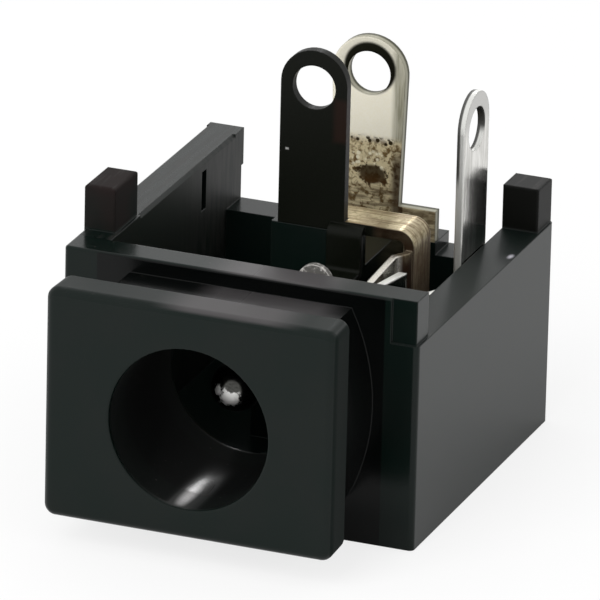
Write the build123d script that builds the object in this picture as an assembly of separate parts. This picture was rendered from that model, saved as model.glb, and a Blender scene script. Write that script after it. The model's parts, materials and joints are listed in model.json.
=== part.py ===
"""Panel-front DC power jack with solder lugs: a moulding, a turned centre pin and three contacts.

Millimetres.  The origin is the centre of the plug socket on the front face of the flange.  +X is to
the right, +Y runs back along the plug and +Z is up, the side where the solder lugs stand.
"""
import os

from build123d import *

# --- moulding: front flange, round neck and open-topped box -------------------------------------
FLANGE_HALF_WIDTH = 5.8
FLANGE_TOP = 4.77
FLANGE_BOTTOM = -4.38
FLANGE_THICKNESS = 1.65
FLANGE_CORNER = 0.45
FLANGE_DRAW = 0.07              # how far each side of the flange draws in from front to back
FLANGE_FRONT_ROUND = 0.35
FLANGE_BACK_ROUND = 0.15
NECK_HALF_WIDTH = 5.38
NECK_HALF_HEIGHT = 3.8          # the neck is flat this far above and below the socket's axis
NECK_SIDE_RADIUS = 8.3          # its sides bow outwards
GROOVE_WIDTH = 3.45             # room for the panel between the flange and the box
BOX_HALF_WIDTH = 7.15
BOX_LENGTH = 14.6
BOX_TOP = 4.42
BOX_BOTTOM = -5.55
BOX_CORNER = 0.2
EDGE_ROUND = 0.12
FRONT_WALL = 1.26
REAR_WALL = 1.5
LEFT_WALL = 1.4
RIGHT_WALL = 1.55
FLOOR = 1.2
RIGHT_LEDGE_DROP = 1.77         # the right wall is this much lower than the other tops
REAR_SILL_DROP = 2.82           # the rear wall between its corner posts
REAR_NOTCH_DROP = 0.5           # a lower notch in the rear sill, beside the pin terminal
CORNER_INSET = 0.1              # the right-hand corners stand this far inside the wall below them
CORNER_STEP_WIDTH = 1.1         # width of that step on the front face
LEFT_TOP_CHAMFER = 0.14
REAR_LIP_LENGTH = 1.0           # square end of the left wall, which overhangs the rear face
REAR_LIP_OVERHANG = 0.3
REAR_LIP_HEIGHT = 1.5
POST_WIDTH = 1.25
POST_LENGTH = 2.2
POST_HEIGHT = 1.78
POST_SETBACK = 2.0
WALL_SLOT_WIDTH = 0.45          # upright slot inside the left wall
WALL_SLOT_DEPTH = 0.5
WALL_SLOT_HEIGHT = 1.6
WALL_SLOT_DROP = 0.4            # from the top of the wall to the top of its slot
WALL_SLOT_SETBACK = 10.45

# --- plug socket and centre pin -----------------------------------------------------------------
SOCKET_RADIUS = 3.18
SOCKET_DEPTH = 10.6             # the plug stops against the pin block
MOUTH_ROUND = 0.1
PLUG_CLEARANCE = 0.43           # around a plug in the socket
PIN_RADIUS = 1.0
PIN_TIP_DEPTH = 4.05            # how far the tip lies behind the flange's face
PIN_TIP_ROUND = 0.92
PIN_COLLAR_RADIUS = 1.55
PIN_COLLAR_LENGTH = 0.5
PIN_TAIL_RADIUS = 0.8
RIVET_RADIUS = 1.25
RIVET_HEIGHT = 0.4
RIVET_ROUND = 0.28
RIVET_HOLE_RADIUS = 1.7         # opening in the rear wall for the riveting tool
PIN_BLOCK_HALF_WIDTH = 1.6
PIN_BLOCK_TOP = 1.95
PIN_TERMINAL_TOP = 9.58
PIN_SHOULDER_HALF_WIDTH = 2.87
PIN_SHOULDER_HEIGHT = 1.26
PIN_STEM_HALF_WIDTH = 2.5

# --- contacts -----------------------------------------------------------------------------------
FIT_CLEARANCE = 0.03            # around each piece that sits in the moulding
EYE_RADIUS = 0.875
EYE_DROP = 1.47                 # from the top of a lug to its eye
SLEEVE_LUG_HALF_WIDTH = 1.34
PIN_LUG_HALF_WIDTH = 1.5
PIN_LUG_ROOT_HALF_WIDTH = 1.34
SHEET = 0.42                    # sleeve contact and pin terminal
SPRING_SHEET = 0.25             # tongue and leaf of the sleeve contact, rolled thinner
SLEEVE_LUG_TOP = 10.93
SLEEVE_SETBACK = 1.7            # front of the sleeve contact behind the plug's stop
SLEEVE_PLATE_TOP = 4.26
SLEEVE_PLATE_DEPTH = 1.75
SLEEVE_BEND = 0.25
SLEEVE_LEG_GAP = 0.52           # between the leg and the ribs outside it
TONGUE_WIDTH = 1.4
TONGUE_OFFSET = 1.5             # from the socket's axis to the middle of the tongue
TONGUE_LENGTH = 3.3
TONGUE_RUNOUT = 0.28            # from the plate's edge to the bend where the tongue drops
TONGUE_PRESS = 0.12             # how far tongue and leaf reach into a plug's place
TONGUE_TIP_HEIGHT = 3.72
TONGUE_BEND = 0.3
LEAF_TOP = 3.5
LEAF_BOTTOM = 0.2
LEAF_TAPER = 0.35               # how far the leaf's top edge comes down towards its end
LEAF_INSET = 0.33               # from the leg's middle to the leaf
LEAF_SHOULDER = 0.75            # length of the bend that carries the leaf inwards
LEAF_LEAN = 0.15
LEAF_LENGTH = 3.0
LEAF_BOW_LENGTH = 1.3           # the bow that touches the plug lies this far ahead of the leaf
LEAF_END_LENGTH = 0.8
LEAF_BEND = 0.3
SWITCH_SHEET = 0.3
SWITCH_GAP = 0.1                # between the switch arm and the leaf that it follows
SWITCH_LUG_TOP = 9.2
SWITCH_LUG_HALF_WIDTH = 1.32
SWITCH_SETBACK = 10.03          # middle of the switch lug behind the front of the box
SWITCH_ARM_TOP = 2.0
SWITCH_ARM_HEIGHT = 1.3
SWITCH_ARM_RUNOUT = 0.9         # from the lug's edge to the arm's first bend
SWITCH_TAB_TOP = 3.12           # raised end of the arm, beside the leaf
SWITCH_TAB_LENGTH = 1.7
SWITCH_TAB_SPLAY = 0.35
SWITCH_ARM_BEND = 0.5
POCKET_RIB = 0.5                # ribs of the pockets for the switch contact and the sleeve contact's leg
POCKET_LIP = 0.35               # how far the switch pocket's ribs turn in over its contact
RIB_DROP = 0.2                  # from the switch arm down to the ribs
LEG_POCKET_HEIGHT = 1.5
EPS = 0.01                      # overrun of a cut past the face it opens

# --- places worked out from the sizes above -----------------------------------------------------
BOX_FRONT = FLANGE_THICKNESS + GROOVE_WIDTH
BOX_REAR = BOX_FRONT + BOX_LENGTH
CAVITY_LEFT = -BOX_HALF_WIDTH + LEFT_WALL
CAVITY_RIGHT = BOX_HALF_WIDTH - RIGHT_WALL
CAVITY_FRONT = BOX_FRONT + FRONT_WALL
CAVITY_REAR = BOX_REAR - REAR_WALL
CAVITY_FLOOR = BOX_BOTTOM + FLOOR
RIGHT_LEDGE = BOX_TOP - RIGHT_LEDGE_DROP
REAR_SILL = BOX_TOP - REAR_SILL_DROP
POST_FRONT = BOX_FRONT + POST_SETBACK
POST_REAR = POST_FRONT + POST_LENGTH
PLUG_RADIUS = SOCKET_RADIUS - PLUG_CLEARANCE
SLEEVE_FRONT = SOCKET_DEPTH + SLEEVE_SETBACK
SLEEVE_REAR = SLEEVE_FRONT + SLEEVE_PLATE_DEPTH
SLEEVE_PLATE_BOTTOM = SLEEVE_PLATE_TOP - SHEET
SLEEVE_PLATE_LEVEL = SLEEVE_PLATE_TOP - SHEET / 2
SWITCH_OUTSIDE = CAVITY_RIGHT - FIT_CLEARANCE
SWITCH_INSIDE = SWITCH_OUTSIDE - SWITCH_SHEET
SWITCH_POCKET_INSIDE = SWITCH_INSIDE - FIT_CLEARANCE - POCKET_RIB
SWITCH_MIDDLE = BOX_FRONT + SWITCH_SETBACK
SWITCH_FRONT = SWITCH_MIDDLE - SWITCH_LUG_HALF_WIDTH
SWITCH_REAR = SWITCH_MIDDLE + SWITCH_LUG_HALF_WIDTH
LEG_OUTSIDE = SWITCH_POCKET_INSIDE - SLEEVE_LEG_GAP
LEG_MIDDLE = LEG_OUTSIDE - SHEET / 2
LEG_INSIDE = LEG_OUTSIDE - SHEET
LEAF_ROOT_X = LEG_MIDDLE - LEAF_INSET
LEAF_ROOT_Y = SLEEVE_FRONT - LEAF_SHOULDER
LEAF_END_X = LEAF_ROOT_X - LEAF_LEAN
LEAF_END_Y = SLEEVE_FRONT - LEAF_LENGTH


def block(x0, x1, y0, y1, z0, z1):
    """A rectangular solid between two corners."""
    middle = Pos((x0 + x1) / 2, (y0 + y1) / 2, (z0 + z1) / 2)
    return middle * Box(x1 - x0, y1 - y0, z1 - z0)


def back(outline, y0, y1):
    """An outline drawn in X and Z, carried back from y0 to y1."""
    return extrude(Plane.XZ.offset(-y0) * outline, amount=-(y1 - y0))


def across(outline, x0, x1):
    """An outline drawn in Y and Z, carried across from x0 to x1."""
    return extrude(Plane.YZ.offset(x0) * outline, amount=x1 - x0)


def upward(outline, z0, z1):
    """An outline drawn in X and Y, carried up from z0 to z1."""
    return extrude(Plane.XY.offset(z0) * outline, amount=z1 - z0)


def rod(radius, y0, y1):
    """A round rod on the socket's axis."""
    return back(Circle(radius), y0, y1)


def lug_outline(root, top, half_width, root_half_width):
    """A solder lug with a round head, tapering to its root, with a wire eye."""
    head = top - half_width
    stem = make_face(
        Polyline((-root_half_width, root), (root_half_width, root), (half_width, head),
                 (-half_width, head), close=True)
    )
    return stem + Pos(0, head) * Circle(half_width) - Pos(0, top - EYE_DROP) * Circle(EYE_RADIUS)


def strip(path, thickness):
    """The outline of a bent strip of even thickness, centred on its path."""
    return trace(path, line_width=thickness)


def make_flange():
    """Front plate whose sides draw in towards the back, well rounded in front and less behind."""
    middle = Pos(0, (FLANGE_TOP + FLANGE_BOTTOM) / 2)
    height = FLANGE_TOP - FLANGE_BOTTOM
    front = middle * RectangleRounded(2 * FLANGE_HALF_WIDTH, height, FLANGE_CORNER)
    rear = middle * RectangleRounded(2 * (FLANGE_HALF_WIDTH - FLANGE_DRAW), height, FLANGE_CORNER)
    plate = loft([Plane.XZ * front, Plane.XZ.offset(-FLANGE_THICKNESS) * rear])
    plate = fillet(plate.faces().sort_by(Axis.Y)[0].edges(), FLANGE_FRONT_ROUND)
    return fillet(plate.faces().sort_by(Axis.Y)[-1].edges(), FLANGE_BACK_ROUND)


def make_neck():
    """Neck with flat top and bottom and bowed sides, behind which the panel's edges sit."""
    side = Circle(NECK_SIDE_RADIUS)
    shift = NECK_SIDE_RADIUS - NECK_HALF_WIDTH
    outline = Pos(-shift, 0) * side & Pos(shift, 0) * side
    outline = outline & Rectangle(2 * NECK_HALF_WIDTH, 2 * NECK_HALF_HEIGHT)
    return back(outline, FLANGE_THICKNESS, BOX_FRONT)


def make_box():
    """The open-topped box: low right wall, rear wall cut down to a sill between its corner posts."""
    outline = RectangleRounded(2 * BOX_HALF_WIDTH, BOX_LENGTH, BOX_CORNER)
    outline = Pos(0, (BOX_FRONT + BOX_REAR) / 2) * outline
    box = upward(outline, BOX_BOTTOM, BOX_TOP)
    box = fillet(box.faces().sort_by(Axis.Z)[-1].edges(), EDGE_ROUND)
    box -= block(CAVITY_LEFT, CAVITY_RIGHT, CAVITY_FRONT, CAVITY_REAR, CAVITY_FLOOR, BOX_TOP + EPS)
    box -= block(CAVITY_RIGHT - EPS, BOX_HALF_WIDTH + EPS, CAVITY_FRONT, CAVITY_REAR, RIGHT_LEDGE,
                 BOX_TOP + EPS)
    box -= block(CAVITY_LEFT, CAVITY_RIGHT, CAVITY_REAR - EPS, BOX_REAR + EPS, REAR_SILL, BOX_TOP + EPS)
    box -= block(PIN_SHOULDER_HALF_WIDTH + FIT_CLEARANCE, CAVITY_RIGHT, CAVITY_REAR - EPS, BOX_REAR + EPS,
                 REAR_SILL - REAR_NOTCH_DROP, REAR_SILL + EPS)
    # Above the ledge, the right-hand corners stand a little inside the wall below them.
    for near, far in ((BOX_FRONT - EPS, CAVITY_FRONT + EPS), (CAVITY_REAR - EPS, BOX_REAR + EPS)):
        box -= block(BOX_HALF_WIDTH - CORNER_INSET, BOX_HALF_WIDTH + EPS, near, far, RIGHT_LEDGE,
                     BOX_TOP + EPS)
    box -= block(BOX_HALF_WIDTH - CORNER_STEP_WIDTH, BOX_HALF_WIDTH + EPS, BOX_FRONT - EPS,
                 BOX_FRONT + CORNER_INSET, RIGHT_LEDGE, BOX_TOP + EPS)
    # Chamfer along the inside of the left wall's top, from the post to the square end.
    corner = make_face(
        Polyline((CAVITY_LEFT + EPS, BOX_TOP + EPS), (CAVITY_LEFT - LEFT_TOP_CHAMFER, BOX_TOP + EPS),
                 (CAVITY_LEFT + EPS, BOX_TOP - LEFT_TOP_CHAMFER), close=True)
    )
    lip_front = BOX_REAR + REAR_LIP_OVERHANG - REAR_LIP_LENGTH
    box -= back(corner, POST_REAR, lip_front)
    # Upright slot inside the left wall.
    slot_front = BOX_FRONT + WALL_SLOT_SETBACK
    slot_top = BOX_TOP - WALL_SLOT_DROP
    box -= block(CAVITY_LEFT - WALL_SLOT_DEPTH, CAVITY_LEFT + EPS, slot_front, slot_front + WALL_SLOT_WIDTH,
                 slot_top - WALL_SLOT_HEIGHT, slot_top)
    return box


def make_rear_lip():
    """Square upper end of the left wall, which overhangs the rear face."""
    lip = block(-BOX_HALF_WIDTH, CAVITY_LEFT, BOX_REAR - BOX_CORNER, BOX_REAR + REAR_LIP_OVERHANG,
                BOX_TOP - REAR_LIP_HEIGHT, BOX_TOP)
    return fillet(lip.faces().sort_by(Axis.Y)[-1].edges(), EDGE_ROUND)


def make_left_post():
    post = block(-BOX_HALF_WIDTH, -BOX_HALF_WIDTH + POST_WIDTH, POST_FRONT, POST_REAR,
                 BOX_TOP - EDGE_ROUND, BOX_TOP + POST_HEIGHT)
    return fillet(post.faces().sort_by(Axis.Z)[-1].edges(), EDGE_ROUND)


def make_pin_block():
    """Pillar behind the plug: it carries the centre pin, with a seat on top for the sleeve contact."""
    pillar = block(-PIN_BLOCK_HALF_WIDTH, PIN_BLOCK_HALF_WIDTH, SOCKET_DEPTH, CAVITY_REAR,
                   CAVITY_FLOOR - EPS, PIN_BLOCK_TOP)
    seat = block(-PIN_BLOCK_HALF_WIDTH, PIN_BLOCK_HALF_WIDTH, SLEEVE_FRONT, SLEEVE_REAR,
                 PIN_BLOCK_TOP - EPS, SLEEVE_PLATE_BOTTOM)
    return pillar + seat


def make_switch_pocket():
    """Two ribs that hold the switch contact against the right wall, with lips over its edges."""
    top = SWITCH_ARM_TOP - SWITCH_ARM_HEIGHT - RIB_DROP
    lip_outside = SWITCH_INSIDE - FIT_CLEARANCE
    ribs = []
    for side, edge in ((-1, SWITCH_FRONT - FIT_CLEARANCE), (1, SWITCH_REAR + FIT_CLEARANCE)):
        near, far = sorted((edge, edge + side * POCKET_RIB))
        ribs.append(block(SWITCH_POCKET_INSIDE, CAVITY_RIGHT + EPS, near, far, CAVITY_FLOOR - EPS, top))
        near, far = sorted((edge + side * EPS, edge - side * POCKET_LIP))
        ribs.append(block(SWITCH_POCKET_INSIDE, lip_outside, near, far, CAVITY_FLOOR - EPS, top))
    return ribs


def make_leg_pocket():
    """Socket on the floor for the end of the sleeve contact's leg."""
    around = FIT_CLEARANCE + POCKET_RIB
    top = CAVITY_FLOOR + LEG_POCKET_HEIGHT
    pocket = block(LEG_INSIDE - around, LEG_OUTSIDE + around, SLEEVE_FRONT - around, SLEEVE_REAR + around,
                   CAVITY_FLOOR - EPS, top)
    return pocket - block(LEG_INSIDE - FIT_CLEARANCE, LEG_OUTSIDE + FIT_CLEARANCE,
                          SLEEVE_FRONT - FIT_CLEARANCE, SLEEVE_REAR + FIT_CLEARANCE,
                          CAVITY_FLOOR, top + EPS)


def make_housing():
    housing = make_flange() + make_neck() + make_box()
    housing += make_left_post() + make_rear_lip() + make_pin_block()
    for rib in make_switch_pocket():
        housing += rib
    housing += make_leg_pocket()
    # Socket with a rounded mouth, through the flange, the neck and the front wall.
    housing -= rod(SOCKET_RADIUS, -EPS, CAVITY_FRONT + EPS)
    circles = housing.faces().sort_by(Axis.Y)[0].edges().filter_by(GeomType.CIRCLE)
    mouth = circles.sort_by(SortBy.RADIUS)[-1]
    housing = fillet(mouth, MOUTH_ROUND)
    # Way through for the pin's tail, and the opening behind its rivet.
    housing -= rod(PIN_TAIL_RADIUS + FIT_CLEARANCE, SOCKET_DEPTH - EPS, CAVITY_REAR + EPS)
    housing -= rod(RIVET_HOLE_RADIUS, CAVITY_REAR + SHEET, BOX_REAR + EPS)
    # Recess that holds the stem of the pin terminal flush with the rear wall.
    stem = PIN_STEM_HALF_WIDTH + FIT_CLEARANCE
    housing -= block(-stem, stem, CAVITY_REAR, CAVITY_REAR + SHEET, CAVITY_FLOOR, REAR_SILL + EPS)
    return housing


def make_centre_pin():
    """Nickel-plated pin: round tip, collar against the pin block, tail riveted behind the terminal."""
    rivet_front = CAVITY_REAR + SHEET
    pin = rod(PIN_RADIUS, PIN_TIP_DEPTH, SOCKET_DEPTH)
    pin = fillet(pin.faces().sort_by(Axis.Y)[0].edges(), PIN_TIP_ROUND)
    pin += rod(PIN_COLLAR_RADIUS, SOCKET_DEPTH - PIN_COLLAR_LENGTH, SOCKET_DEPTH)
    pin += rod(PIN_TAIL_RADIUS, SOCKET_DEPTH - EPS, rivet_front + EPS)
    rivet = rod(RIVET_RADIUS, rivet_front, rivet_front + RIVET_HEIGHT)
    return pin + fillet(rivet.faces().sort_by(Axis.Y)[-1].edges(), RIVET_ROUND)


def make_pin_terminal():
    """Flat terminal in the rear wall: stem in the recess, shoulders on the sill, lug above."""
    shoulder_top = REAR_SILL + PIN_SHOULDER_HEIGHT
    outline = lug_outline(shoulder_top - EPS, PIN_TERMINAL_TOP, PIN_LUG_HALF_WIDTH, PIN_LUG_ROOT_HALF_WIDTH)
    shoulders = Rectangle(2 * PIN_SHOULDER_HALF_WIDTH, PIN_SHOULDER_HEIGHT)
    outline += Pos(0, (REAR_SILL + shoulder_top) / 2) * shoulders
    stem = Rectangle(2 * PIN_STEM_HALF_WIDTH, REAR_SILL - CAVITY_FLOOR)
    outline += Pos(0, (REAR_SILL + CAVITY_FLOOR) / 2) * stem
    outline -= Circle(PIN_TAIL_RADIUS + FIT_CLEARANCE)
    return back(outline, CAVITY_REAR, CAVITY_REAR + SHEET)


def make_tongue():
    """Spring tongue: down from the plate's front edge, forward over the plug, up to a round tip."""
    first = SLEEVE_FRONT - TONGUE_RUNOUT
    tip = SLEEVE_FRONT - TONGUE_LENGTH
    plug_here = (PLUG_RADIUS ** 2 - TONGUE_OFFSET ** 2) ** 0.5
    level = plug_here - TONGUE_PRESS + SPRING_SHEET / 2
    run = FilletPolyline((SLEEVE_FRONT + SHEET, SLEEVE_PLATE_LEVEL), (first, SLEEVE_PLATE_LEVEL),
                         (first, level), (tip, level), (tip, TONGUE_TIP_HEIGHT), radius=TONGUE_BEND)
    tongue = across(strip(run, SPRING_SHEET), TONGUE_OFFSET - TONGUE_WIDTH / 2,
                    TONGUE_OFFSET + TONGUE_WIDTH / 2)
    tip_round = TONGUE_WIDTH / 2
    corners = Rectangle(2 * TONGUE_WIDTH, 2 * tip_round, align=(Align.CENTER, Align.MIN))
    corners -= Circle(tip_round)
    corners = Pos(TONGUE_OFFSET, TONGUE_TIP_HEIGHT - tip_round) * corners
    return tongue - back(corners, tip - SPRING_SHEET, tip + SPRING_SHEET)


def make_leaf():
    """Spring leaf: forward from the leg, inwards past it, then bowed in to the plug and out again."""
    bow_x = PLUG_RADIUS - TONGUE_PRESS + SPRING_SHEET / 2
    bow_y = LEAF_END_Y - LEAF_BOW_LENGTH
    plan = FilletPolyline((LEG_MIDDLE, SLEEVE_FRONT + SHEET), (LEG_MIDDLE, SLEEVE_FRONT - SPRING_SHEET),
                          (LEAF_ROOT_X, LEAF_ROOT_Y), (LEAF_END_X, LEAF_END_Y), (bow_x, bow_y),
                          (LEAF_END_X, bow_y - LEAF_END_LENGTH), radius=LEAF_BEND)
    leaf = upward(strip(plan, SPRING_SHEET), LEAF_BOTTOM, LEAF_TOP)
    above = make_face(
        Polyline((LEAF_ROOT_Y, LEAF_TOP), (LEAF_END_Y, LEAF_TOP - LEAF_TAPER),
                 (bow_y - LEAF_LENGTH, LEAF_TOP - LEAF_TAPER), (bow_y - LEAF_LENGTH, LEAF_TOP + EPS),
                 (LEAF_ROOT_Y, LEAF_TOP + EPS), close=True)
    )
    return leaf - across(above, bow_x - PLUG_RADIUS, LEG_OUTSIDE)


def make_sleeve_contact():
    """Lug, top plate and one leg from one sheet, with a tongue over the plug and a leaf beside it."""
    ell = FilletPolyline((-SLEEVE_LUG_HALF_WIDTH, SLEEVE_PLATE_LEVEL), (LEG_MIDDLE, SLEEVE_PLATE_LEVEL),
                         (LEG_MIDDLE, CAVITY_FLOOR), radius=SLEEVE_BEND + SHEET / 2)
    contact = back(strip(ell, SHEET), SLEEVE_FRONT, SLEEVE_REAR)
    lug = lug_outline(SLEEVE_PLATE_LEVEL, SLEEVE_LUG_TOP, SLEEVE_LUG_HALF_WIDTH, SLEEVE_LUG_HALF_WIDTH)
    contact += back(lug, SLEEVE_FRONT, SLEEVE_FRONT + SHEET)
    return contact + make_tongue() + make_leaf()


def make_switch_contact():
    """Lug against the right wall, with an arm whose raised end follows the sleeve contact's leaf."""
    outline = lug_outline(CAVITY_FLOOR, SWITCH_LUG_TOP, SWITCH_LUG_HALF_WIDTH, SWITCH_LUG_HALF_WIDTH)
    contact = across(Pos(SWITCH_MIDDLE, 0) * outline, SWITCH_INSIDE, SWITCH_OUTSIDE)
    middle = (SWITCH_INSIDE + SWITCH_OUTSIDE) / 2
    beside_leaf = LEAF_END_X + SPRING_SHEET / 2 + SWITCH_GAP + SWITCH_SHEET / 2
    tab_rear = LEAF_END_Y + SWITCH_TAB_LENGTH
    plan = FilletPolyline((middle, SWITCH_FRONT + SWITCH_SHEET), (middle, SWITCH_FRONT - SWITCH_ARM_RUNOUT),
                          (beside_leaf + SWITCH_TAB_SPLAY, tab_rear), (beside_leaf, LEAF_END_Y),
                          radius=SWITCH_ARM_BEND)
    arm = upward(strip(plan, SWITCH_SHEET), SWITCH_ARM_TOP - SWITCH_ARM_HEIGHT, SWITCH_TAB_TOP)
    arm -= block(LEAF_END_X, CAVITY_RIGHT, tab_rear, SWITCH_REAR, SWITCH_ARM_TOP, SWITCH_TAB_TOP + EPS)
    return contact + arm


PARTS = {
    "housing": make_housing,
    "centre_pin": make_centre_pin,
    "pin_terminal": make_pin_terminal,
    "sleeve_contact": make_sleeve_contact,
    "switch_contact": make_switch_contact,
}

os.makedirs("parts", exist_ok=True)
for name, make in PARTS.items():
    solid = make()
    export_step(solid, f"parts/{name}.step")
    print(name, len(solid.solids()), "solid(s)", round(solid.volume, 2), "mm3")
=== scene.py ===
# %% [markdown]
# # A DC power jack with solder lugs
# A black moulded housing carries a turned centre pin and three stamped contacts. Their shapes come from
# the CAD frame, true to size, so this lesson is about finish: how nodes make moulded plastic that has been
# handled, tarnished brass, tin plate stained by flux, and bright spring metal, and how one pale studio
# suits them all.

# %% Load the frame
import json
import math

import bpy
from mathutils import Matrix, Vector


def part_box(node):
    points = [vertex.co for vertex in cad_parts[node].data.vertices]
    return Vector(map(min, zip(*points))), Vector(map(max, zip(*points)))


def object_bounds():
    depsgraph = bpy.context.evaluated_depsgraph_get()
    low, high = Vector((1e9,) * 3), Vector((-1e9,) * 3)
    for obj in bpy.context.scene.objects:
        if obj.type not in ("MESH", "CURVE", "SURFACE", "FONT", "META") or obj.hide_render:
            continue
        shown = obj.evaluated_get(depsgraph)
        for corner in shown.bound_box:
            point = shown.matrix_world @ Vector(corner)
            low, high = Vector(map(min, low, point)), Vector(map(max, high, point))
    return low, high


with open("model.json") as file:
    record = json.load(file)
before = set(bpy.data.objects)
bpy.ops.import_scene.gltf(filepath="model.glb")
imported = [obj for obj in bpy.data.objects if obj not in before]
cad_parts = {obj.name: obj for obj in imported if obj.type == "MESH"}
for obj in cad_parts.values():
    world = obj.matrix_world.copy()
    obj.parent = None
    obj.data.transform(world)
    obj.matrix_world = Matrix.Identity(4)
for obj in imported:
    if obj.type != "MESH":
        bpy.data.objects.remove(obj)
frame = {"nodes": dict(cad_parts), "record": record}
cad_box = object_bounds()
MM = 0.001
nodes = frame["nodes"]
mounts = {m["name"]: Vector(m["pos_m"]) / MM for m in frame["record"]["mounts"]}
print("CAD box, mm:", [round(side / MM, 2) for side in cad_box[1] - cad_box[0]])

# %% [markdown]
# ## Camera
# The jack is seen from the front right and a little above, through a long lens that keeps its edges nearly
# parallel. The camera is placed by angles around a point inside the jack, because angles are easy to read.

# %% Camera
CAMERA_AZIMUTH = math.radians(20.9)
CAMERA_ELEVATION = math.radians(21.2)
CAMERA_ROLL = math.radians(1.4)
CAMERA_DISTANCE = 387.7 * MM
CAMERA_AIM = Vector((3.15, 3.12, 4.61)) * MM
LENS_MM = 627.6
SENSOR_MM = 36.0
NEAREST, FARTHEST = 10 * MM, 10.0

camera = bpy.data.objects.new("camera", bpy.data.cameras.new("camera"))
bpy.context.scene.collection.objects.link(camera)
bpy.context.scene.camera = camera
towards_camera = Vector((
    math.sin(CAMERA_AZIMUTH) * math.cos(CAMERA_ELEVATION),
    -math.cos(CAMERA_AZIMUTH) * math.cos(CAMERA_ELEVATION),
    math.sin(CAMERA_ELEVATION),
))
turn = (-towards_camera).to_track_quat("-Z", "Y").to_matrix() @ Matrix.Rotation(CAMERA_ROLL, 3, "Z")
camera.matrix_world = Matrix.Translation(CAMERA_AIM + CAMERA_DISTANCE * towards_camera) @ turn.to_4x4()
camera.data.lens = LENS_MM
camera.data.sensor_width = SENSOR_MM
camera.data.clip_start = NEAREST
camera.data.clip_end = FARTHEST
bpy.context.scene.view_settings.view_transform = "Standard"
print("camera", [round(v / MM, 1) for v in camera.location], "mm")

# %% [markdown]
# ## Helpers for nodes
# A finish is a small graph. Placing each node and its links by hand hides the idea, so one function adds a
# node and takes either plain values or other nodes' outputs, and the rest name what is done with them. A
# mask is a value from 0 to 1.

# %% Node helpers
def add(tree, kind, inputs=None, **settings):
    """Adds one shader node; an input may be a plain value or another node's output."""
    made = tree.nodes.new("ShaderNode" + kind)
    for name, value in settings.items():
        setattr(made, name, value)
    for name, value in (inputs or {}).items():
        if isinstance(value, bpy.types.NodeSocket):
            tree.links.new(value, made.inputs[name])
        else:
            made.inputs[name].default_value = value
    return made


def combine(tree, operation, first, second=0.0):
    return add(tree, "Math", {0: first, 1: second}, operation=operation).outputs[0]

# %% Masks
def both(tree, first, second):
    return combine(tree, "MULTIPLY", first, second)


def either(tree, first, second):
    return combine(tree, "MAXIMUM", first, second)


def outside(tree, mask):
    return combine(tree, "SUBTRACT", 1.0, mask)


def at_least(tree, value, mask, amount):
    """Raises a value to an amount where the mask is 1, and never lowers it."""
    return either(tree, value, both(tree, mask, amount))

# %% Spreading and blending
NOISE_LOW, NOISE_HIGH = 0.3, 0.7  # nearly all of a noise lies between these


def spread(tree, value, low, high, to_low=0.0, to_high=1.0):
    """Maps the stretch from low to high onto to_low to to_high, with soft ends."""
    places = {0: value, 1: low, 2: high, 3: to_low, 4: to_high}
    return add(tree, "MapRange", places, interpolation_type="SMOOTHSTEP").outputs[0]


def noise_onto(tree, noise, to_low, to_high):
    return spread(tree, noise, NOISE_LOW, NOISE_HIGH, to_low, to_high)


def blend(tree, share, first, second):
    return add(tree, "Mix", {0: share, 6: first, 7: second}, data_type="RGBA").outputs[2]


def rgb(red, green, blue):
    return (red, green, blue, 1.0)

# %% Place and direction
def millimetres(tree):
    """The place on the piece, in millimetres from the part's origin."""
    place = add(tree, "TexCoord").outputs["Object"]
    return add(tree, "VectorMath", {0: place, "Scale": 1 / MM}, operation="SCALE").outputs[0]


def place_axes(tree):
    """The place as three values: x to the right, y to the back, z up."""
    return add(tree, "SeparateXYZ", {0: millimetres(tree)}).outputs


def facing_axes(tree):
    """How far a face looks along x, y and z: 1 is straight along, 0 is edge on, -1 is straight against."""
    return add(tree, "SeparateXYZ", {0: add(tree, "NewGeometry").outputs["Normal"]}).outputs


# Cosines of the angle between a face and an axis: a face begins to count at 60 degrees.
TURNED, NEARLY_SQUARE, SQUARE_ON = 0.5, 0.8, 0.9

# %% [markdown]
# ## Node groups
# Edge wear, grain, rolled lines, blots and zones turn up on several finishes, so each is a node group:
# built once, with named inputs, and placed in each material with its own values. Sizes are in millimetres.

# %% Making a group
KINDS = {float: "NodeSocketFloat", tuple: "NodeSocketVector"}


def new_group(name, inputs, outputs):
    """An empty group with its sockets; returns the tree, its inputs and a function that sets an output."""
    tree = bpy.data.node_groups.new(name, "ShaderNodeTree")
    for label, value in inputs.items():
        socket = tree.interface.new_socket(label, in_out="INPUT", socket_type=KINDS[type(value)])
        socket.default_value = value
    for label, kind in outputs.items():
        tree.interface.new_socket(label, in_out="OUTPUT", socket_type=KINDS[kind])
    entry = tree.nodes.new("NodeGroupInput")
    leaving = tree.nodes.new("NodeGroupOutput")
    return tree, entry.outputs, lambda label, value: tree.links.new(value, leaving.inputs[label])

# %% Placing a group
def place_group(tree, group, **inputs):
    """Places a group in a material; an input may be a plain value or another node's output."""
    made = tree.nodes.new("ShaderNodeGroup")
    made.node_tree = group
    for name, value in inputs.items():
        if isinstance(value, bpy.types.NodeSocket):
            tree.links.new(value, made.inputs[name])
        else:
            made.inputs[name].default_value = value
    return made.outputs

# %% [markdown]
# ### Edge wear
# Real edges are never sharp: they are a little round, and handling polishes them first. A Bevel modifier
# would round them with new faces, but the Bevel node only bends the normal, so the CAD mesh stays as it
# is. Where that normal leans away from the surface's own there is an edge, so the same node also makes the
# wear mask.

# %% Edge wear
STILL_FLAT, ON_EDGE = 0.995, 0.8  # cosines of the lean between the two normals
BEVEL_SAMPLES = 6

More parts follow.
